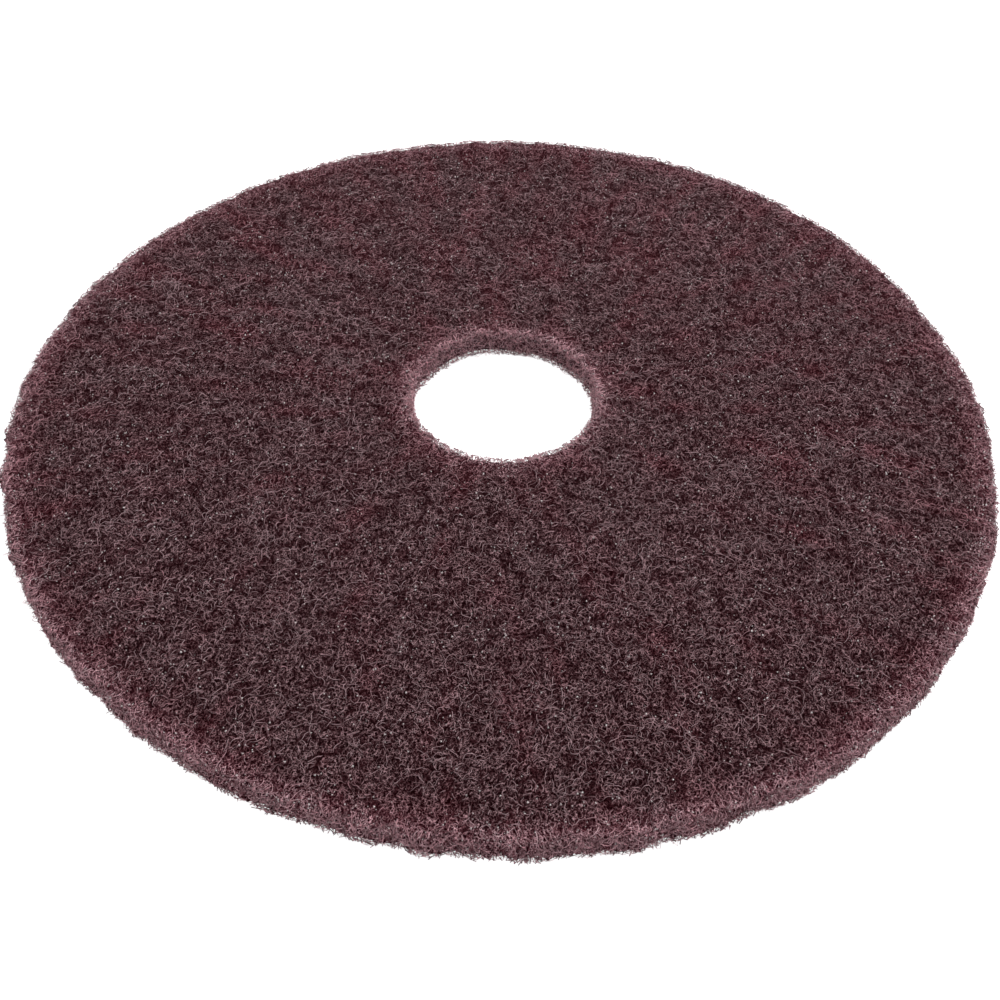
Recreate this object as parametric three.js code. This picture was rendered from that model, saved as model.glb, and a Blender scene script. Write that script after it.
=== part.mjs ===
// Floor polishing pad: one round of springy non-woven fibre web with a hole at its centre.
//
// Millimetres, +Z up. The origin is under the centre of the hole, on the floor that the pad lies on,
// and -Y is the side nearest the eye. The web is lofty: its faces are tufts that reach the full
// thickness, with shallow hollows between them. A die cuts the round and its hole out of the sheet,
// which leaves walls with soft corners and a slightly torn outline.

import * as THREE from 'three';
import { ImprovedNoise } from 'three/addons/math/ImprovedNoise.js';

// Sizes of the cut round
const padDiameter = 432;
const holeDiameter = 84;
const padThickness = 13;

// The knife squeezes the web as it cuts, so the corners of both walls spring back round
const cornerRadius = 3.4;

// A pad that has relaxed out of its die is slightly three-lobed, with one lobe at this bearing
const lobeHeight = 1.2;
const lobeBearing = THREE.MathUtils.degToRad(60);

// Tufts and hollows of the two faces: the pitch is about the distance from tuft to tuft, the tuft
// share is how much of a face stays at the full thickness, and a larger slope makes softer hollows
const tuftPitch = 24;
const tuftShare = 0.55;
const hollowDepth = 1.4;
const hollowSlope = 0.6;

// Torn fibre ends push the walls in and out: how far, at what spacing along the wall, and how deep
// into the web this reaches
const rimTear = 1.5;
const holeTear = 1;
const tearPitch = 11;
const tearReach = 12;

// Net of triangles over the web: points around each wall, steps down a wall and across a face
const rimPoints = 240;
const holePoints = 60;
const wallSteps = 6;
const faceSteps = 19;

const rimRadius = padDiameter / 2;
const holeRadius = holeDiameter / 2;
const corner = Math.min(cornerRadius, 0.45 * padThickness);

const noise = new ImprovedNoise();
const { smoothstep } = THREE.MathUtils;

// The section of the web, from hole to rim, carried round the axis as a loop of rings: along the
// lower face, up the rim, back along the upper face and down the hole. A ring on a face has points
// about as far apart as the rings are, and a ring on a wall has that wall's number of points.
function sectionRings() {
  const inner = holeRadius + corner;
  const outer = rimRadius - corner;
  const low = corner;
  const high = padThickness - corner;
  const quarter = Math.PI / 2;
  const pointPitch = 2 / Math.sqrt(3) * (outer - inner) / faceSteps;

  const rim = new THREE.Path()
    .absarc(outer, low, corner, -quarter, 0)
    .absarc(outer, high, corner, 0, quarter);
  const hole = new THREE.Path()
    .absarc(inner, high, corner, quarter, 2 * quarter)
    .absarc(inner, low, corner, 2 * quarter, 3 * quarter);

  const wall = (path, count) => path.getSpacedPoints(wallSteps)
    .map(({ x, y }) => ({ radius: x, height: y, count }));
  const face = (from, to, height) => {
    const across = new THREE.LineCurve(new THREE.Vector2(from, 0), new THREE.Vector2(to, 0));
    return across.getSpacedPoints(faceSteps).slice(1, -1)
      .map(({ x }) => ({ radius: x, height, count: Math.round(2 * Math.PI * x / pointPitch) }));
  };

  return [
    ...face(inner, outer, 0),
    ...wall(rim, rimPoints),
    ...face(outer, inner, padThickness),
    ...wall(hole, holePoints),
  ];
}

// How much the rim stands out at a bearing because the pad isn't quite round
function lobe(bearing) {
  return lobeHeight * Math.cos(3 * (bearing - lobeBearing));
}

// Unevenness of the web at a point, from about -1 to 1: waves at a pitch, with finer and lower
// waves on top
function unevenness(x, y, z, pitch) {
  const finer = pitch / 2.3;
  return 1.2 * noise.noise(x / pitch, y / pitch, z / pitch)
    + 0.6 * noise.noise(x / finer, y / finer, z / finer);
}

// Depth of the hollow at a point of a face, which is 0 on a tuft
function hollow(x, y, height) {
  const tuftLevel = tuftShare - 0.5;
  const wave = unevenness(x, y, height, tuftPitch);
  return hollowDepth * smoothstep(wave, tuftLevel, tuftLevel + hollowSlope);
}

// Where a point of the plain section lies on the tufts, hollows and torn walls of the real web
function settled(radius, bearing, height) {
  const x = radius * Math.cos(bearing);
  const y = radius * Math.sin(bearing);

  const acrossFace = (radius - holeRadius) / (rimRadius - holeRadius);
  const nearRim = smoothstep(radius, rimRadius - tearReach, rimRadius);
  const nearHole = 1 - smoothstep(radius, holeRadius, holeRadius + tearReach);
  const push = acrossFace * lobe(bearing)
    + (nearRim * rimTear - nearHole * holeTear) * unevenness(x, y, height, tearPitch);

  const fromMiddle = 2 * height / padThickness - 1;
  const onFace = smoothstep(Math.abs(fromMiddle), 0.5, 1);
  const sink = Math.sign(fromMiddle) * onFace * hollow(x, y, height);

  const place = new THREE.Vector3(radius + push, 0, height - sink);
  return place.applyAxisAngle(new THREE.Vector3(0, 0, 1), bearing);
}

// Triangles of the strip between two rings. It walks round both together and always steps along
// the ring whose next point comes first, so rings with different counts meet without a gap.
function stripBetween(ring, next) {
  const triangles = [];
  let a = 0;
  let b = 0;
  while (a < ring.count || b < next.count) {
    const aComesFirst = ring.turn + (a + 1) / ring.count < next.turn + (b + 1) / next.count;
    const here = ring.first + a % ring.count;
    const there = next.first + b % next.count;
    if (b === next.count || (a < ring.count && aComesFirst)) {
      a += 1;
      triangles.push(here, ring.first + a % ring.count, there);
    } else {
      b += 1;
      triangles.push(here, next.first + b % next.count, there);
    }
  }
  return triangles;
}

// The whole web as one closed surface: every other ring is turned half a point, for even triangles
function fibreWeb() {
  const points = [];
  const rings = sectionRings();
  rings.forEach((ring, index) => {
    ring.first = points.length;
    ring.turn = (index % 2) / (2 * ring.count);
    for (let i = 0; i < ring.count; i++) {
      const bearing = 2 * Math.PI * (ring.turn + i / ring.count);
      points.push(settled(ring.radius, bearing, ring.height));
    }
  });

  const web = new THREE.BufferGeometry().setFromPoints(points);
  web.setIndex(rings.flatMap((ring, i) => stripBetween(ring, rings[(i + 1) % rings.length])));
  web.computeVertexNormals();
  return web;
}

// Dark maroon nylon fibre bonded with resin and abrasive, quite dull
const fibreFinish = new THREE.MeshStandardMaterial({
  color: 0x5a4043,
  roughness: 0.85,
  metalness: 0,
});

const fibrePad = new THREE.Mesh(fibreWeb(), fibreFinish);
fibrePad.name = 'fibre_pad';

const pad = new THREE.Group();
pad.add(fibrePad);

export default pad;
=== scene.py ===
# Looks of a floor polishing pad: a round of curly, resin-bonded fibre on a plain white studio floor.

import math

import bpy
import numpy as np
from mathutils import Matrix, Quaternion, Vector


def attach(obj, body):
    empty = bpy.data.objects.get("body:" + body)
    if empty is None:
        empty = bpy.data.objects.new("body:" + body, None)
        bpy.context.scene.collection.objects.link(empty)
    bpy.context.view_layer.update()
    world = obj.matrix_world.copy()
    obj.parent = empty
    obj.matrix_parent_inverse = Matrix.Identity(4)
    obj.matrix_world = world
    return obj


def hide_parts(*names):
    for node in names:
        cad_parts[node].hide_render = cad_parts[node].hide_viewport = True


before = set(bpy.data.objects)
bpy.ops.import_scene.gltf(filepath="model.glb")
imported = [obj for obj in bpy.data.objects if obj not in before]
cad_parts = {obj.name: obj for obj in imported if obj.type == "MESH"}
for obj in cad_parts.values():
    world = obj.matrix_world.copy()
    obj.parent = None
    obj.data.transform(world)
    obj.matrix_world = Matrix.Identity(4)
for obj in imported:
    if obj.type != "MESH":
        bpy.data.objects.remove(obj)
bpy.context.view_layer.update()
mm = 0.001


# Camera and studio. The pad lies on a wide white floor under one large soft box, in a room of even
# white light. The camera stands over the near rim and looks down at the near half of the pad.
eye = Vector((0, -0.3817, 0.3603))
aim = Vector((-0.0005, -0.0659, 0.013))
lens_mm = 40.95
sensor_mm = 36
camera_roll = math.radians(1.23)

camera_data = bpy.data.cameras.new("camera")
camera_data.lens = lens_mm
camera_data.sensor_width = sensor_mm
camera = bpy.data.objects.new("camera", camera_data)
camera.location = eye
camera.rotation_mode = "QUATERNION"
camera.rotation_quaternion = (aim - eye).to_track_quat("-Z", "Y") @ Quaternion((0, 0, 1), camera_roll)
bpy.context.collection.objects.link(camera)
bpy.context.scene.camera = camera
bpy.context.scene.view_settings.view_transform = "Standard"


class Shade:
    """A socket of a node tree. Arithmetic on it adds the Math nodes that work it out."""

    def __init__(self, tree, socket=None):
        self.tree = tree
        self.socket = socket

    def node(self, kind, settings=None, inputs=None, output=0):
        """Adds a node: its settings first, then the values or links of its sockets."""
        made = self.tree.nodes.new("ShaderNode" + kind)
        for name, value in (settings or {}).items():
            if name == "stops":
                spare = made.color_ramp.elements
                for stop, (place, colour) in enumerate(value):
                    at = spare[stop] if stop < 2 else spare.new(place)
                    at.position = place
                    at.color = colour
            else:
                setattr(made, name, value)
        for name, value in (inputs or {}).items():
            if isinstance(value, Shade):
                self.tree.links.new(value.socket, made.inputs[name])
            else:
                made.inputs[name].default_value = value
        return Shade(self.tree, made.outputs[output])

    def maths(self, operation, first, second):
        return self.node("Math", {"operation": operation}, {0: first, 1: second})

    def __add__(self, other):
        return self.maths("ADD", self, other)

    def __sub__(self, other):
        return self.maths("SUBTRACT", self, other)

    def __rsub__(self, other):
        return self.maths("SUBTRACT", other, self)

    def __mul__(self, other):
        return self.maths("MULTIPLY", self, other)

    __radd__ = __add__
    __rmul__ = __mul__

    def mixed(self, low, high):
        """A colour between two others, where this value is 0 and where it is 1."""
        settings = {"data_type": "RGBA"}
        return self.node("Mix", settings, {0: self, 6: low, 7: high}, output=2)

    def stepped(self, low, high):
        """0 where this value is under low, 1 where it is over high, and smooth between."""
        settings = {"interpolation_type": "SMOOTHSTEP"}
        return self.node("MapRange", settings, {"Value": self, "From Min": low, "From Max": high})


def material(name):
    """A new material: its node tree, and the socket that its shader goes to."""
    made = bpy.data.materials.new(name)
    made.use_nodes = True
    made.node_tree.nodes.clear()
    output = made.node_tree.nodes.new("ShaderNodeOutputMaterial")
    return made, Shade(made.node_tree), output.inputs["Surface"]


def shown_directly(shade):
    """1 for rays from the camera, or seen in gloss or through glass, and 0 for the rest."""
    seen = [shade.node("LightPath", output=kind) for kind in (
        "Is Camera Ray", "Is Glossy Ray", "Is Transmission Ray")]
    return shade.maths("MINIMUM", seen[0] + seen[1] + seen[2], 1.0)


room_light = 0.62
world = bpy.data.worlds.new("white room")
world.use_nodes = True
world.node_tree.nodes.clear()
room = Shade(world.node_tree)
strength = shown_directly(room) * (1 - room_light) + room_light
background = room.node("Background", inputs={"Color": (1, 1, 1, 1), "Strength": strength})
world_output = world.node_tree.nodes.new("ShaderNodeOutputWorld")
world.node_tree.links.new(background.socket, world_output.inputs["Surface"])
bpy.context.scene.world = world

floor_half = 6.0
floor_glow = 0.85
floor_paper, shade, surface = material("white floor paper")
paper = shade.node("BsdfDiffuse", inputs={"Color": (0.8, 0.8, 0.8, 1)})
glow = shade.node("Emission", inputs={"Strength": shown_directly(shade) * floor_glow})
lit_paper = shade.node("AddShader", inputs={0: paper, 1: glow})
shade.tree.links.new(lit_paper.socket, surface)

floor_mesh = bpy.data.meshes.new("floor")
floor_corners = [(x * floor_half, y * floor_half, 0) for x, y in ((-1, -1), (1, -1), (1, 1), (-1, 1))]
floor_mesh.from_pydata(floor_corners, [], [(0, 1, 2, 3)])
floor_mesh.materials.append(floor_paper)
floor = bpy.data.objects.new("floor", floor_mesh)
bpy.context.collection.objects.link(floor)


def soft_box(name, place, width, watts):
    """A square lamp that faces the pad's centre."""
    lamp_data = bpy.data.lights.new(name, "AREA")
    lamp_data.size = width
    lamp_data.energy = watts
    lamp = bpy.data.objects.new(name, lamp_data)
    lamp.location = place
    lamp.rotation_mode = "QUATERNION"
    lamp.rotation_quaternion = (-Vector(place)).to_track_quat("-Z", "Y")
    bpy.context.collection.objects.link(lamp)


soft_box("overhead_box", place=(1.4, 1.5, 1.3), width=1.2, watts=38)


# Core of the web. Below the loose fibres of its faces the web is so deep that no light comes back
# out, only dim crossed strands. It is drawn as one dark closed form that lies just under the
# fibres of the faces and the cut walls, with a net of strands in its colour and its relief. Its
# dark colour is painted shade of the deep web.
pad_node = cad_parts["fibre_pad"]
solid = np.empty(3 * len(pad_node.data.vertices))
pad_node.data.vertices.foreach_get("co", solid)
solid = solid.reshape(-1, 3)
thickness = solid[:, 2].max()
full_turn = 2 * math.pi


def wall_outline(outer):
    """Bearings and radii of the frame's rim or hole, from its points halfway up the wall."""
    radius = np.hypot(solid[:, 0], solid[:, 1])
    halfway = np.abs(solid[:, 2] - thickness / 2) < thickness / 5
    here = halfway & ((radius > radius.mean()) == outer)
    bearing = np.arctan2(solid[here, 1], solid[here, 0])
    order = np.argsort(bearing)
    return bearing[order], radius[here][order]


rim_outline = wall_outline(True)
hole_outline = wall_outline(False)


def rim_at(bearing):
    return np.interp(bearing, *rim_outline, period=full_turn)


def hole_at(bearing):
    return np.interp(bearing, *hole_outline, period=full_turn)


def waves(x, y, pitch, seed, count=24):
    """Smooth unevenness, about -1 to 1: a sum of sine waves that run in all directions with
    wavelengths from 0.7 to 1.6 times the pitch."""
    draw = np.random.default_rng(seed)
    run = draw.uniform(0, full_turn, count)
    shift = draw.uniform(0, full_turn, count)
    length = pitch * draw.uniform(0.7, 1.6, count)
    total = np.zeros(np.broadcast(x, y).shape)
    for i in range(count):
        along = x * math.cos(run[i]) + y * math.sin(run[i])
        total += np.sin(full_turn * along / length[i] + shift[i])
    return total / math.sqrt(count)


def piece(name, points, triangles, finish):
    """A mesh of triangles on the pad's one body, from arrays of points and of point numbers."""
    mesh = bpy.data.meshes.new(name)
    mesh.vertices.add(len(points))
    mesh.vertices.foreach_set("co", points.ravel())
    mesh.loops.add(triangles.size)
    mesh.loops.foreach_set("vertex_index", triangles.ravel().astype(np.int32))
    mesh.polygons.add(len(triangles))
    mesh.polygons.foreach_set("loop_start", np.arange(0, triangles.size, 3, dtype=np.int32))
    mesh.update(calc_edges=True)
    mesh.shade_smooth()
    mesh.materials.append(finish)
    made = bpy.data.objects.new(name, mesh)
    bpy.context.collection.objects.link(made)
    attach(made, "root")
    return made


def strand_layer(shade, place, stretch, turn, size, width, light, seed):
    """How bright the strands of one crossed layer are, 0 between them and up to the layer's light
    along them: the edges of cells that are drawn out along one direction and bent by noise. The
    strands dive under the layer and come up again, which a second noise sets; where they dive they
    are painted dark, as shade."""
    bend = shade.node("TexNoise", {"noise_dimensions": "2D"}, {
        "Vector": place, "Scale": 0.8 / size, "Detail": 1.0}, output="Color")
    bent = shade.node("VectorMath", {"operation": "MULTIPLY_ADD"}, {
        0: bend, 1: (size * 1.4,) * 3, 2: place})
    laid = shade.node("Mapping", {"vector_type": "TEXTURE"}, {
        "Vector": bent, "Location": (seed * 0.37, seed * 0.61, 0),
        "Rotation": (0, 0, turn), "Scale": (size * stretch, size, 1)})
    cells = shade.node("TexVoronoi", {"voronoi_dimensions": "2D", "feature": "DISTANCE_TO_EDGE"}, {
        "Vector": laid, "Scale": 1.0})
    strand = 1 - cells.stepped(0.4 * width / size, width / size)
    dive = shade.node("TexNoise", {"noise_dimensions": "2D"}, {
        "Vector": laid, "Scale": 0.8, "Detail": 1.0})
    return strand * dive.stepped(0.38, 0.60) * light


core_finish, shade, surface = material("deep web")
place = shade.node("UVMap", {"uv_map": "web"})
redness = shade.node("Attribute", {"attribute_name": "redness"}, output="Fac")
wall = shade.node("Attribute", {"attribute_name": "wall"}, output="Fac")
height = 0.0
for layer in (
    dict(stretch=1.5, turn=0.3, size=0.65 * mm, width=0.085 * mm, light=0.65, seed=1),
    dict(stretch=1.4, turn=1.9, size=0.80 * mm, width=0.095 * mm, light=0.85, seed=2),
    dict(stretch=1.7, turn=1.1, size=1.00 * mm, width=0.105 * mm, light=1.00, seed=3),
):
    height = shade.maths("MAXIMUM", strand_layer(shade, place, **layer), height)
clumps = shade.node("TexNoise", {"noise_dimensions": "2D"}, {
    "Vector": place, "Scale": 170.0, "Detail": 1.0})
height = height * (0.7 + 0.3 * clumps.stepped(0.34, 0.56))
# Colours of the net: the near-black between the strands is painted shade of the deep web
greyish = shade.node("ValToRGB", {"stops": [
    (0.0, (0.0055, 0.0004, 0.0008, 1)), (0.5, (0.066, 0.0225, 0.0275, 1)),
    (1.0, (0.440, 0.2720, 0.2930, 1))]}, {"Fac": height})
reddish = shade.node("ValToRGB", {"stops": [
    (0.0, (0.0085, 0.0004, 0.0010, 1)), (0.5, (0.083, 0.0195, 0.0255, 1)),
    (1.0, (0.480, 0.2200, 0.2500, 1))]}, {"Fac": height})
# Near the cut walls the net is painted paler and redder: painted back light that comes through the web
backlit = shade.node("ValToRGB", {"stops": [
    (0.0, (0.0180, 0.0020, 0.0045, 1)), (0.5, (0.270, 0.0980, 0.1200, 1)),
    (1.0, (0.970, 0.6300, 0.6900, 1))]}, {"Fac": height})
relief = shade.node("Bump", inputs={"Height": height, "Distance": 0.3 * mm, "Strength": 0.7})
web_shader = shade.node("BsdfPrincipled", inputs={
    "Base Color": wall.stepped(0.3, 1.0).mixed(redness.mixed(greyish, reddish), backlit),
    "Roughness": 0.8, "Specular IOR Level": 0.0, "Normal": relief})
shade.tree.links.new(web_shader.socket, surface)

# The core's distance from the rim, the hole and both faces, the height of the waves and crumbs of
# its walls and of the dips in its faces, the radius of its corners and its least height
core_inset = 0.5 * mm
hole_inset = 0.8 * mm
core_depth = 1.0 * mm
core_rise = 1.0 * mm
core_tear = 0.45 * mm
core_crumble = 0.45 * mm
core_dip = 0.35 * mm
core_corner = 1.6 * mm
core_floor = 0.2 * mm

# Its net of points: spokes round the hole, and rings across each face, corner and wall
core_spokes = 1000
face_rings = 10
corner_rings = 4
wall_rings = 4


def near_wall(gap, reach):
    """1 at a wall and 0 from a reach away."""
    return np.clip(1 - gap / reach, 0, 1)


def red_patches_and_backlight(x, y, gap):
    """0 where the web looks greyish and 1 where it looks red: in patches of 10 to 25 mm, more so
    within 20 mm of a cut wall, where the red is painted light that comes through, and more so on
    the far half."""
    broad = waves(x, y, 34 * mm, 11)
    fine = waves(x, y, 13 * mm, 12)
    by_wall = near_wall(gap, 20 * mm) * (1.0 + 0.5 * broad)
    return np.clip(0.33 * broad + 0.44 * fine + 0.05 + 0.35 * y / rim_at(0) + by_wall, 0, 1)


def core_section():
    """The core's section as a closed loop, clockwise from the hole's corner of the upper face:
    how far along from hole to rim, 0 to 1, how far beyond it, and the height."""
    low = core_rise
    high = thickness - core_depth
    turn = np.linspace(0, math.pi / 2, corner_rings + 1)
    out = core_corner * np.sin(turn)
    drop = core_corner * (1 - np.cos(turn))
    span = np.linspace(0, 1, face_rings, endpoint=False)[1:]
    wall = np.linspace(high - core_corner, low + core_corner, wall_rings + 2)[1:-1]
    share = np.concatenate([
        span, np.ones(len(turn)), np.ones(len(wall)), np.ones(len(turn)),
        1 - span, np.zeros(len(turn)), np.zeros(len(wall)), np.zeros(len(turn))])
    beyond = np.concatenate([
        0 * span, out, core_corner + 0 * wall, out[::-1],
        0 * span, -out, -core_corner + 0 * wall, -out[::-1]])
    level = np.concatenate([
        high + 0 * span, high - drop, wall, low + drop[::-1],
        low + 0 * span, low + drop, wall[::-1], high - drop[::-1]])
    return share, beyond, level


def core_mesh():
    """The section carried round the hole, between the outlines of the two walls. Waves push both
    walls and their corners in and out, a random push of every point makes them crumbly, and two
    more sets of waves dip the faces a little."""
    share, beyond, level = core_section()
    bearing = np.linspace(0, full_turn, core_spokes, endpoint=False)
    inner = hole_at(bearing) + hole_inset + core_corner
    outer = rim_at(bearing) - core_inset - core_corner
    radius = inner + share[:, None] * (outer - inner) + beyond[:, None]
    x = radius * np.cos(bearing)
    y = radius * np.sin(bearing)
    tilt = level[:, None]
    push = core_tear * (waves(x + tilt, y - tilt, 11 * mm, 7) + waves(x - tilt, y + tilt, 4 * mm, 8))
    push = push + np.random.default_rng(9).normal(0, core_crumble, x.shape)
    by_wall = np.abs(beyond[:, None]) / core_corner
    radius = radius - push * np.sign(beyond[:, None]) * by_wall
    x = radius * np.cos(bearing)
    y = radius * np.sin(bearing)
    side = np.sign(level - thickness / 2)[:, None]
    dip = core_dip * (0.8 * waves(x, y, 15 * mm, 5) + 0.4 * waves(x, y, 9 * mm, 6))
    z = level[:, None] + side * (dip + push * np.clip(4 * by_wall, 0, 1) * (1 - by_wall))
    z = np.clip(z, core_floor, thickness)
    points = np.stack([x, y, z], axis=-1)

    rings = len(share)
    ring, spoke = np.meshgrid(np.arange(rings), np.arange(core_spokes), indexing="ij")
    after = (ring + 1) % rings
    beside = (spoke + 1) % core_spokes
    a = ring * core_spokes + spoke
    b = ring * core_spokes + beside
    c = after * core_spokes + beside
    d = after * core_spokes + spoke
    triangles = np.stack([a, b, c, a, c, d], axis=-1).reshape(-1, 3)

    # The net's map lays each side out flat about the hole, with the nearer half of each wall
    ring_radius = radius.mean(axis=1)
    step = np.hypot(
        np.diff(ring_radius, append=ring_radius[0]), np.diff(level, append=level[0]))
    run = np.cumsum(step) - step
    upper = level + np.roll(level, -1) > thickness
    upper_run = np.where(np.arange(rings) < rings // 2, run, run - step.sum())
    last_low = np.flatnonzero(share > 0)[-1]
    near_reach = ring_radius[0] + np.where(upper, upper_run, run[last_low] - run)
    far_reach = near_reach + np.where(upper, step, -step)
    bearings = np.append(bearing, full_turn)
    near, far = near_reach[:, None], far_reach[:, None]
    shift = np.where(upper, 0, 1.0)[:, None]

    def laid(reach, turned):
        return np.stack([shift + reach * np.cos(turned), reach * np.sin(turned)], axis=-1)

    here, there = bearings[:-1], bearings[1:]
    quad = [laid(near, here), laid(near, there), laid(far, there), laid(far, here)]
    web_map = np.stack([quad[i] for i in (0, 1, 2, 0, 2, 3)], axis=2)
    return points.reshape(-1, 3), triangles, web_map.reshape(-1, 2)


def add_map(made, name, corner_places):
    layer = made.data.uv_layers.new(name=name)
    layer.uv.foreach_set("vector", corner_places.ravel())


def add_value(made, name, values):
    layer = made.data.attributes.new(name, "FLOAT", "POINT")
    layer.data.foreach_set("value", np.clip(values, 0, 1).astype(np.float32))


core_points, core_triangles, core_map = core_mesh()
core = piece("deep_web", core_points, core_triangles, core_finish)
add_map(core, "web", core_map)
core_x, core_y = core_points[:, 0], core_points[:, 1]
core_bearing = np.arctan2(core_y, core_x)
core_radius = np.hypot(core_x, core_y)
gap = np.minimum(rim_at(core_bearing) - core_radius, core_radius - hole_at(core_bearing))
gap = gap - core_inset
add_value(core, "redness", red_patches_and_backlight(core_x, core_y, gap))
# The wall value masks the painted back light of the net near the cut walls
add_value(core, "wall", near_wall(gap, 8 * mm))
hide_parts("fibre_pad")


# Fibres of the web: crimped nylon strands, each coated with resin, that wander through the upper
# few millimetres in crossed layers. They are glued where they touch, and cut at the walls.
def crimped(draw, count, steps, stride, crimp):
    """Plan of crimped fibres about their own middles. The heading is a start bearing, a steady
    curl and two sine waves of the length run."""
    run = np.arange(steps + 1) * stride
    heading = draw.uniform(0, full_turn, (count, 1)) + draw.normal(0, 0.04 / mm, (count, 1)) * run
    for shortest, longest, swing in crimp:
        length = draw.uniform(shortest, longest, (count, 1))
        size = draw.uniform(0.3, 1, (count, 1)) * swing
        start = draw.uniform(0, full_turn, (count, 1))
        heading = heading + size * np.sin(full_turn * run / length + start)
    x = np.cumsum(np.cos(heading), axis=1) * stride
    y = np.cumsum(np.sin(heading), axis=1) * stride
    return x - x.mean(axis=1, keepdims=True), y - y.mean(axis=1, keepdims=True)


def weave(draw, count, steps, stride, shortest, longest):
    """A sine wave along each fibre, -1 to 1, with a wavelength of its own."""
    run = np.arange(steps + 1) * stride
    length = draw.uniform(shortest, longest, (count, 1))
    return np.sin(full_turn * run / length + draw.uniform(0, full_turn, (count, 1)))


def tubes(points, radius):
    """Closed three-sided tubes along rows of points: each ring stands across the fibre, and the
    two ends are capped."""
    count, rings = points.shape[:2]
    ahead = np.gradient(points, axis=1)
    ahead /= np.linalg.norm(ahead, axis=2, keepdims=True)
    side = np.cross(ahead, (0, 0.1, 1))
    side /= np.linalg.norm(side, axis=2, keepdims=True)
    lift = np.cross(side, ahead)
    turn = np.array([0.25, 7 / 12, 11 / 12]) * full_turn
    across = (side[:, :, None] * np.cos(turn)[:, None] + lift[:, :, None] * np.sin(turn)[:, None])
    shell = points[:, :, None] + radius[..., None, None] * across

    fibre, ring, edge = np.meshgrid(np.arange(count), np.arange(rings - 1), np.arange(3), indexing="ij")
    start = (fibre * rings + ring) * 3
    a = start + edge
    b = start + (edge + 1) % 3
    walls = np.stack([a, a + 3, b + 3, a, b + 3, b], axis=-1).reshape(-1, 3)
    first = np.arange(count)[:, None] * rings * 3
    caps = np.concatenate([first + (0, 1, 2), first + (rings - 1) * 3 + (0, 2, 1)])
    return shell.reshape(-1, 3), np.concatenate([walls, caps])


def tapered(draw, count, steps, thick):
    """Radius along each fibre: its own thickness, a little uneven, and thinner at both ends."""
    radius = thick * draw.uniform(0.8, 1.2, (count, 1)) * draw.uniform(0.85, 1.15, (count, steps + 1))
    radius[:, [0, -1]] *= 0.5
    return radius


def chart_colours(made, chart, points_each, row_of_triangle):
    """Sets the tone and redness that the fibre material reads. Each row of the chart holds both,
    0 to 1, for a number of points. The bake map puts every triangle at the tone and redness of
    its row, so that the map is a chart of the colours."""
    chart = np.clip(chart, 0, 1)
    add_value(made, "tone", np.repeat(chart[:, 0], points_each))
    add_value(made, "redness", np.repeat(chart[:, 1], points_each))
    spot = 0.01 + 0.97 * chart[row_of_triangle]
    nook = np.array([(0, 0), (0.007, 0), (0, 0.007)])
    add_map(made, "OFBake", spot[:, None] + nook)


def fibre_piece(name, points, radius, tone, redness):
    """A piece of fibres whose tone and redness are given at each ring of three points."""
    shell, triangles = tubes(points, radius)
    made = piece(name, shell, triangles, fibre_finish)
    chart = np.stack([tone, redness], axis=-1).reshape(-1, 2)
    chart_colours(made, chart, points_each=3, row_of_triangle=triangles[:, 0] // 3)


fibre_finish, shade, surface = material("resin-coated fibre")
tone = shade.node("Attribute", {"attribute_name": "tone"}, output="Fac")
redness = shade.node("Attribute", {"attribute_name": "redness"}, output="Fac")
greyish = tone.mixed((0.045, 0.008, 0.012, 1), (0.940, 0.655, 0.700, 1))
reddish = tone.mixed((0.055, 0.006, 0.011, 1), (0.980, 0.515, 0.585, 1))
fibre_shader = shade.node("BsdfPrincipled", inputs={
    "Base Color": redness.mixed(greyish, reddish), "Roughness": 0.5,
    "Specular IOR Level": 0.08})
shade.tree.links.new(fibre_shader.socket, surface)

# A fibre: its radius, the length of a step along it and its number of steps, and the waves of its
# crimp, each with its shortest and longest wavelength and its swing in radians
fibre_thick = 0.09 * mm
stride = 1.15 * mm
fibre_steps = 22
crimp_waves = ((3.4 * mm, 7.0 * mm, 0.7), (9 * mm, 22 * mm, 1.2))

# Where the fibres of the faces lie: their distance from a wall, the radius of the corner that
# they round there, and the width of the band beside it where they are painted paler, as back light
wall_clear = 0.4 * mm
fibre_corner = 1.8 * mm
backlit_band = 5 * mm


def within_walls(x, y, clear):
    """Folds fibres back where they would leave the round: a point as far beyond a wall as it
    would lie is set as far inside it. Gives the new plan and the distance to the nearest wall."""
    radius = np.hypot(x, y)
    bearing = np.arctan2(y, x)
    outer = rim_at(bearing) - clear
    inner = hole_at(bearing) + clear
    radius = outer - np.abs(outer - radius)
    radius = inner + np.abs(radius - inner)
    gap = np.minimum(outer - radius, radius - inner) + clear
    return radius * np.cos(bearing), radius * np.sin(bearing), np.maximum(gap, 0)


def corner_drop(gap):
    """How far the rounded corner lies under the face, at a distance from the wall."""
    inside = np.clip(fibre_corner - gap, 0, fibre_corner)
    return fibre_corner - np.sqrt(fibre_corner ** 2 - inside ** 2)


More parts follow.
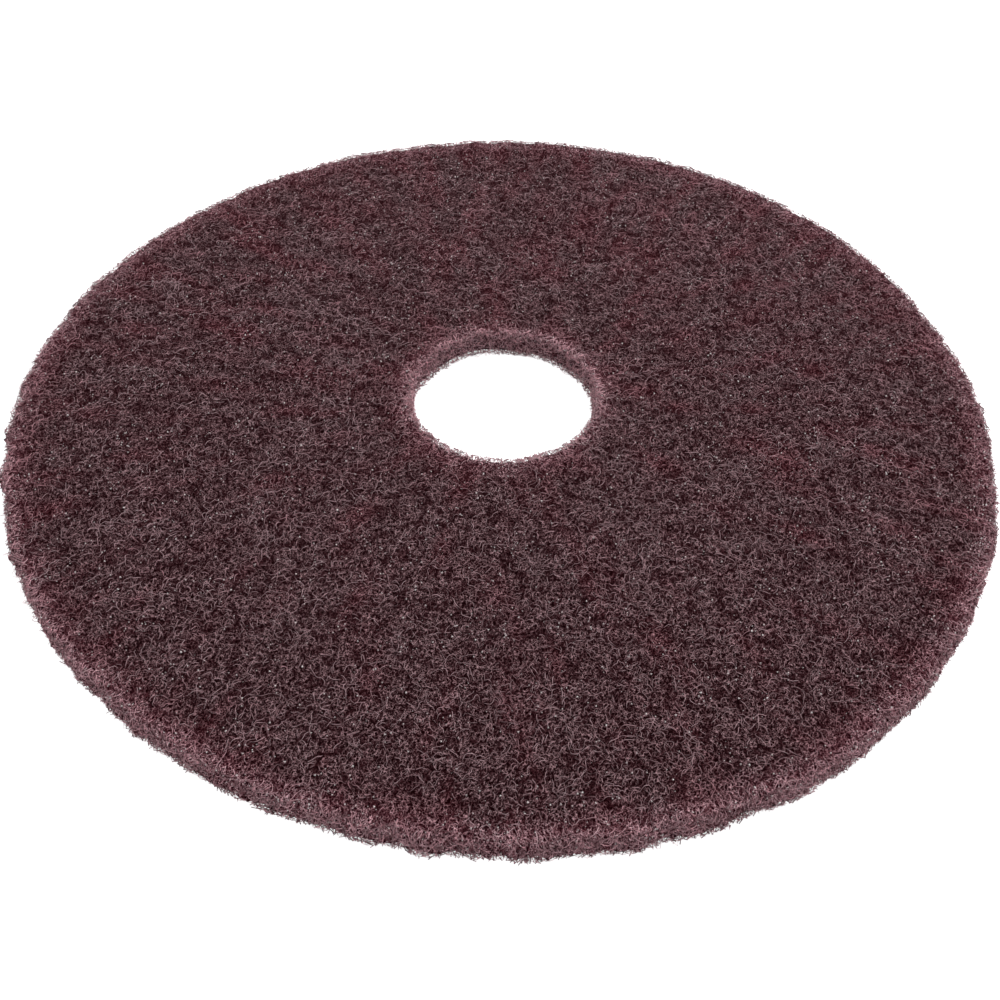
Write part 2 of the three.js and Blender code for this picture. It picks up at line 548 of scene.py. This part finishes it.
def face_layer(name, seed, count, shallow, deep, tones, up=1):
    """One layer of a face's fibres, woven between two depths below the face. A fibre is painted darker
    where it dives, as shade, and painted paler beside a wall, as light that comes through the cut
    wall."""
    draw = np.random.default_rng(seed)
    radius = np.sqrt(draw.uniform(hole_at(0) ** 2, rim_at(0) ** 2, (count, 1)))
    bearing = draw.uniform(0, full_turn, (count, 1))
    x, y = crimped(draw, count, fibre_steps, stride, crimp_waves)
    x, y, gap = within_walls(x + radius * np.cos(bearing), y + radius * np.sin(bearing), wall_clear)
    swing = weave(draw, count, fibre_steps, stride, 4 * mm, 9 * mm)
    middle = draw.uniform(0.3, 0.7, (count, 1)) * (deep - shallow)
    depth = shallow + middle + 0.5 * (deep - shallow) * swing
    depth = np.clip(depth, fibre_thick, None) + corner_drop(gap)
    z = thickness - depth if up > 0 else depth
    tone = draw.uniform(*tones, (count, 1)) - 0.2 * swing + draw.normal(0, 0.1, x.shape)
    tone = tone + 0.25 * near_wall(gap, backlit_band)
    redness = red_patches_and_backlight(x, y, gap) + draw.normal(0, 0.1, (count, 1))
    points = np.stack([x, y, z], axis=-1)
    fibre_piece(name, points, tapered(draw, count, fibre_steps, fibre_thick), tone, redness)


# Deeper layers have darker tones: painted shade of the fibres above them
face_layer("upper_web_1", 21, 1150, shallow=0.0 * mm, deep=1.3 * mm, tones=(0.28, 0.68))
face_layer("upper_web_2", 22, 1150, shallow=0.2 * mm, deep=1.7 * mm, tones=(0.23, 0.60))
face_layer("upper_web_3", 23, 1130, shallow=0.4 * mm, deep=2.1 * mm, tones=(0.18, 0.52))
face_layer("lower_web", 25, 280, shallow=0.0 * mm, deep=1.5 * mm, tones=(0.20, 0.60), up=-1)


# Cut walls. At the rim and in the hole the same fibres are seen from their side and with light
# from behind, so these bands are painted paler and redder as that back light, with gaps between
# the fibres. Loops and cut ends stand out of both walls.

# A cut end: how deep in the web it starts, how unevenly far it stands out, how much it leans and
# bends along the wall and rises and arches across it, and how many times as thick as a fibre it is
end_start = (1.2 * mm, 3.6 * mm)
end_scatter = 0.5 * mm
end_spread = np.array([2.0, 2.6, 1.0, 1.2]) * mm
end_thick = (1.0, 2.2)


def wall_band(name, seed, count, outline, outward, shallow, deep, tones, stray):
    """Fibres that run along a wall between its faces, woven between two depths behind it. A share
    of them strays: they loop out of the wall. Their pale tones and redness are painted back light,
    and they are painted darker where they dive, as shade."""
    draw = np.random.default_rng(seed)
    along, height = crimped(draw, count, fibre_steps, stride, crimp_waves)
    bearing = draw.uniform(0, full_turn, (count, 1))
    wall = np.interp(bearing, *outline, period=full_turn)
    bearing = bearing + along / wall
    top = thickness - 0.3 * mm
    z = np.abs(height + draw.uniform(0, top, (count, 1)))
    z = np.abs((z + top) % (2 * top) - top)
    z = np.clip(z, fibre_thick + 0.05 * mm, None)
    swing = weave(draw, count, fibre_steps, stride, 5 * mm, 13 * mm)
    depth = shallow + (deep - shallow) * (0.5 + 0.5 * swing)
    loose = draw.random((count, 1)) < stray
    reach = draw.uniform(0.5 * mm, 2.2 * mm, (count, 1))
    depth = np.where(loose, depth - reach * np.clip(swing, -1, 0) ** 2, depth)
    edge = np.minimum(z, thickness - z)
    inset = depth + corner_drop(edge)
    radius = np.interp(bearing, *outline, period=full_turn) - outward * inset
    points = np.stack([radius * np.cos(bearing), radius * np.sin(bearing), z], axis=-1)
    tone = draw.uniform(*tones, (count, 1)) - 0.2 * swing + draw.normal(0, 0.18, z.shape)
    redness = 0.65 + draw.normal(0, 0.2, (count, 1)) + 0 * along
    fibre_piece(name, points, tapered(draw, count, fibre_steps, fibre_thick), tone, redness)


def cut_ends(name, seed, count, outline, outward, proud, dull_share, tones):
    """Short resin-thick fibres that come out of the web to a wall and end there. Each runs outwards
    on a parabola that bends it along the wall and up or down, and is painted darker towards its tip,
    as shade, and a share of them is dull. The height is the sine squared of an even draw, so that
    they crowd towards both faces."""
    draw = np.random.default_rng(seed)
    run = np.linspace(0, 1, 4)
    bearing = draw.uniform(0, full_turn, (count, 1))
    wall = np.interp(bearing, *outline, period=full_turn)
    start = draw.uniform(*end_start, (count, 1))
    end = draw.normal(-proud, end_scatter, (count, 1))
    depth = start + (end - start) * run
    lean, bend, rise, arch = end_spread[:, None, None] * draw.normal(0, 1, (4, count, 1))
    bearing = bearing + (lean * run + bend * run ** 2) / wall
    level = thickness * np.sin(draw.uniform(0, math.pi / 2, (count, 1))) ** 2
    z = np.clip(level + rise * run + arch * run ** 2, 0.3 * mm, thickness)
    edge = np.maximum(np.minimum(z, thickness - z), 0)
    inset = depth + 0.7 * corner_drop(edge)
    radius = np.interp(bearing, *outline, period=full_turn) - outward * inset
    points = np.stack([radius * np.cos(bearing), radius * np.sin(bearing), z], axis=-1)
    dull = np.where(draw.random((count, 1)) < dull_share, 0.3, 1)
    tone = draw.uniform(*tones, (count, 1)) * dull * (1 - 0.6 * run ** 2)
    redness = 0.5 + draw.normal(0, 0.2, (count, 1)) + 0 * run
    thick = fibre_thick * draw.uniform(*end_thick, (count, 1)) * np.array([0.7, 1, 1, 1.2])
    fibre_piece(name, points, thick, tone, redness)


# At the hole the fibres and cut ends get paler tones than at the rim: more painted back light
wall_band("rim_fibres", 31, 640, rim_outline, 1,
    shallow=-0.9 * mm, deep=1.4 * mm, tones=(0.45, 0.95), stray=0.06)
wall_band("hole_fibres", 33, 170, hole_outline, -1,
    shallow=-1.2 * mm, deep=1.6 * mm, tones=(0.70, 1.00), stray=0.12)
cut_ends("rim_cut_ends", 35, 6300, rim_outline, 1,
    proud=0.6 * mm, dull_share=0.35, tones=(0.5, 1.0))
cut_ends("hole_cut_ends", 37, 1350, hole_outline, -1,
    proud=0.9 * mm, dull_share=0.15, tones=(0.9, 1.0))


# Grains: beads of clear resin and splinters of mineral that stick to the upper fibres, in clusters.
# They are glossy, and their pale colour is a painted glint, so that they show as points of light.
# The cut walls have more of them, as painted light that comes through the open web, and crumbs
# and stubs of broken fibre too, whose dark tones are painted shade.
glint_grain_finish, shade, surface = material("glossy grains with painted glints")
# The grains' speckle from dim pink to white: painted glints on glossy grains
glint_speck = shade.node("TexWhiteNoise", {"noise_dimensions": "3D"}, {
    "Vector": shade.node("VectorMath", {"operation": "SNAP"}, {
        0: shade.node("TexCoord", output="Object"), 1: (1.2 * mm,) * 3})}, output="Value")
glint_grain_shader = shade.node("BsdfPrincipled", inputs={
    "Base Color": glint_speck.mixed((0.48, 0.38, 0.39, 1), (1.0, 0.94, 0.94, 1)), "Roughness": 0.3,
    "Specular IOR Level": 0.6})
shade.tree.links.new(glint_grain_shader.socket, surface)

# A splinter: its corners about its middle, and its four sides
splinter_corners = np.array([(1, 0, -0.35), (-0.5, 0.87, -0.35), (-0.5, -0.87, -0.35), (0, 0, 1)])
splinter_faces = np.array([(0, 2, 1), (0, 1, 3), (1, 2, 3), (2, 0, 3)])


# Grains of a wall: how far behind it they scatter, and how near they come to the floor and to the
# upper face
wall_scatter = 1.2 * mm
grain_low = 0.6 * mm
grain_high = 0.3 * mm


def grains(name, draw, radius, bearing, z, sizes, finish, stretch=1.0):
    """Four-sided splinters at these places, most of them small, turned and tipped over at random,
    with corners at uneven distances from their middle. A stretch makes them long and pointed."""
    count = len(radius)
    smallest, largest = sizes
    size = smallest + (largest - smallest) * draw.random((count, 1, 1)) ** 2
    size = size * draw.uniform(0.7, 1.4, (count, 4, 1)) * np.array([1, 1, 1, stretch])[:, None]
    turn = draw.uniform(0, full_turn, (count, 1))
    tip = draw.uniform(0, 0.5 * full_turn, (count, 1))
    side, ahead, up = splinter_corners.T
    tipped = ahead * np.cos(tip) - up * np.sin(tip)
    across = np.stack([
        side * np.cos(turn) - tipped * np.sin(turn), side * np.sin(turn) + tipped * np.cos(turn),
        ahead * np.sin(tip) + up * np.cos(tip)], axis=-1)
    middle = np.concatenate([radius * np.cos(bearing), radius * np.sin(bearing), z], axis=1)
    corners = middle[:, None] + size * across
    corners[:, :, 2] = np.clip(corners[:, :, 2], 0.05 * mm, thickness + 0.9 * mm)
    triangles = np.arange(count)[:, None, None] * 4 + splinter_faces
    return piece(name, corners.reshape(-1, 3), triangles.reshape(-1, 3), finish)


def face_glint_grains(name, seed, count, sizes):
    """Grains just under the upper face. Of three places drawn for each, the one where two sets of
    waves stand highest is kept, with a lift close to a wall. This gathers them in clusters and
    streaks, and beside the walls."""
    draw = np.random.default_rng(seed)
    radius = np.sqrt(draw.uniform((hole_at(0) + 1 * mm) ** 2, (rim_at(0) - 1 * mm) ** 2, (count, 3)))
    bearing = draw.uniform(0, full_turn, (count, 3))
    x = radius * np.cos(bearing)
    y = radius * np.sin(bearing)
    gap = np.minimum(rim_at(bearing) - radius, radius - hole_at(bearing))
    # The lift beside the walls gathers painted glints where light comes through the cut walls
    crowd = waves(x, y, 9 * mm, 41) + 0.7 * waves(x, y, 28 * mm, 42) + near_wall(gap, 9 * mm)
    best = np.argmax(crowd, axis=1)[:, None]
    radius = np.take_along_axis(radius, best, axis=1)
    bearing = np.take_along_axis(bearing, best, axis=1)
    gap = np.maximum(np.take_along_axis(gap, best, axis=1), 0)
    z = thickness - draw.uniform(-0.1 * mm, 0.6 * mm, (count, 1)) - corner_drop(gap)
    grains(name, draw, radius, bearing, z, sizes, glint_grain_finish)


def wall_grains(name, seed, count, wall_at, outward, proud, sizes, finish=glint_grain_finish, stretch=1.0):
    """Grains in the loose ends of a wall, crowded towards both faces as the ends are."""
    draw = np.random.default_rng(seed)
    bearing = draw.uniform(0, full_turn, (count, 1))
    level = np.sin(draw.uniform(0, math.pi / 2, (count, 1))) ** 2
    z = grain_low + level * (thickness - grain_low - grain_high)
    edge = np.minimum(z, thickness - z)
    inset = np.abs(draw.normal(0, wall_scatter, (count, 1))) - proud + 0.7 * corner_drop(edge)
    radius = wall_at(bearing) - outward * inset
    return grains(name, draw, radius, bearing, z, sizes, finish, stretch)


def wall_crumbs(name, seed, count, wall_at, outward, proud, sizes, tones, stretch=1.0):
    """Crumbs or stubs in a wall, with the fibres' material and a tone and redness of their own."""
    made = wall_grains(name, seed, count, wall_at, outward, proud, sizes, fibre_finish, stretch)
    draw = np.random.default_rng((seed, 1))
    chart = np.stack([draw.uniform(*tones, count), draw.random(count)], axis=-1)
    row_of_triangle = np.repeat(np.arange(count), len(splinter_faces))
    chart_colours(made, chart, len(splinter_corners), row_of_triangle)


face_glint_grains("face_glint_grains", 43, 6000, sizes=(0.14 * mm, 0.52 * mm))
# Pale grains in the cut walls: painted light that comes through the open web
wall_grains("rim_glint_grains", 44, 2600, rim_at, 1, proud=0.3 * mm, sizes=(0.22 * mm, 0.56 * mm))
wall_grains("hole_glint_grains", 45, 500, hole_at, -1, proud=0.4 * mm, sizes=(0.22 * mm, 0.56 * mm))
# Crumbs and stubs: their dark tones are painted shade in the fringe of the walls, and their pale tones
# painted back light
wall_crumbs("rim_crumbs", 46, 4000, rim_at, 1,
    proud=0.4 * mm, sizes=(0.20 * mm, 0.60 * mm), tones=(0.0, 0.8))
wall_crumbs("hole_crumbs", 47, 1100, hole_at, -1,
    proud=0.7 * mm, sizes=(0.20 * mm, 0.60 * mm), tones=(0.1, 1.0))
wall_crumbs("rim_stubs", 48, 18000, rim_at, 1,
    proud=0.5 * mm, sizes=(0.14 * mm, 0.28 * mm), tones=(0.05, 1.0), stretch=6)
wall_crumbs("hole_stubs", 49, 3600, hole_at, -1,
    proud=1.0 * mm, sizes=(0.16 * mm, 0.32 * mm), tones=(0.15, 1.0), stretch=6)
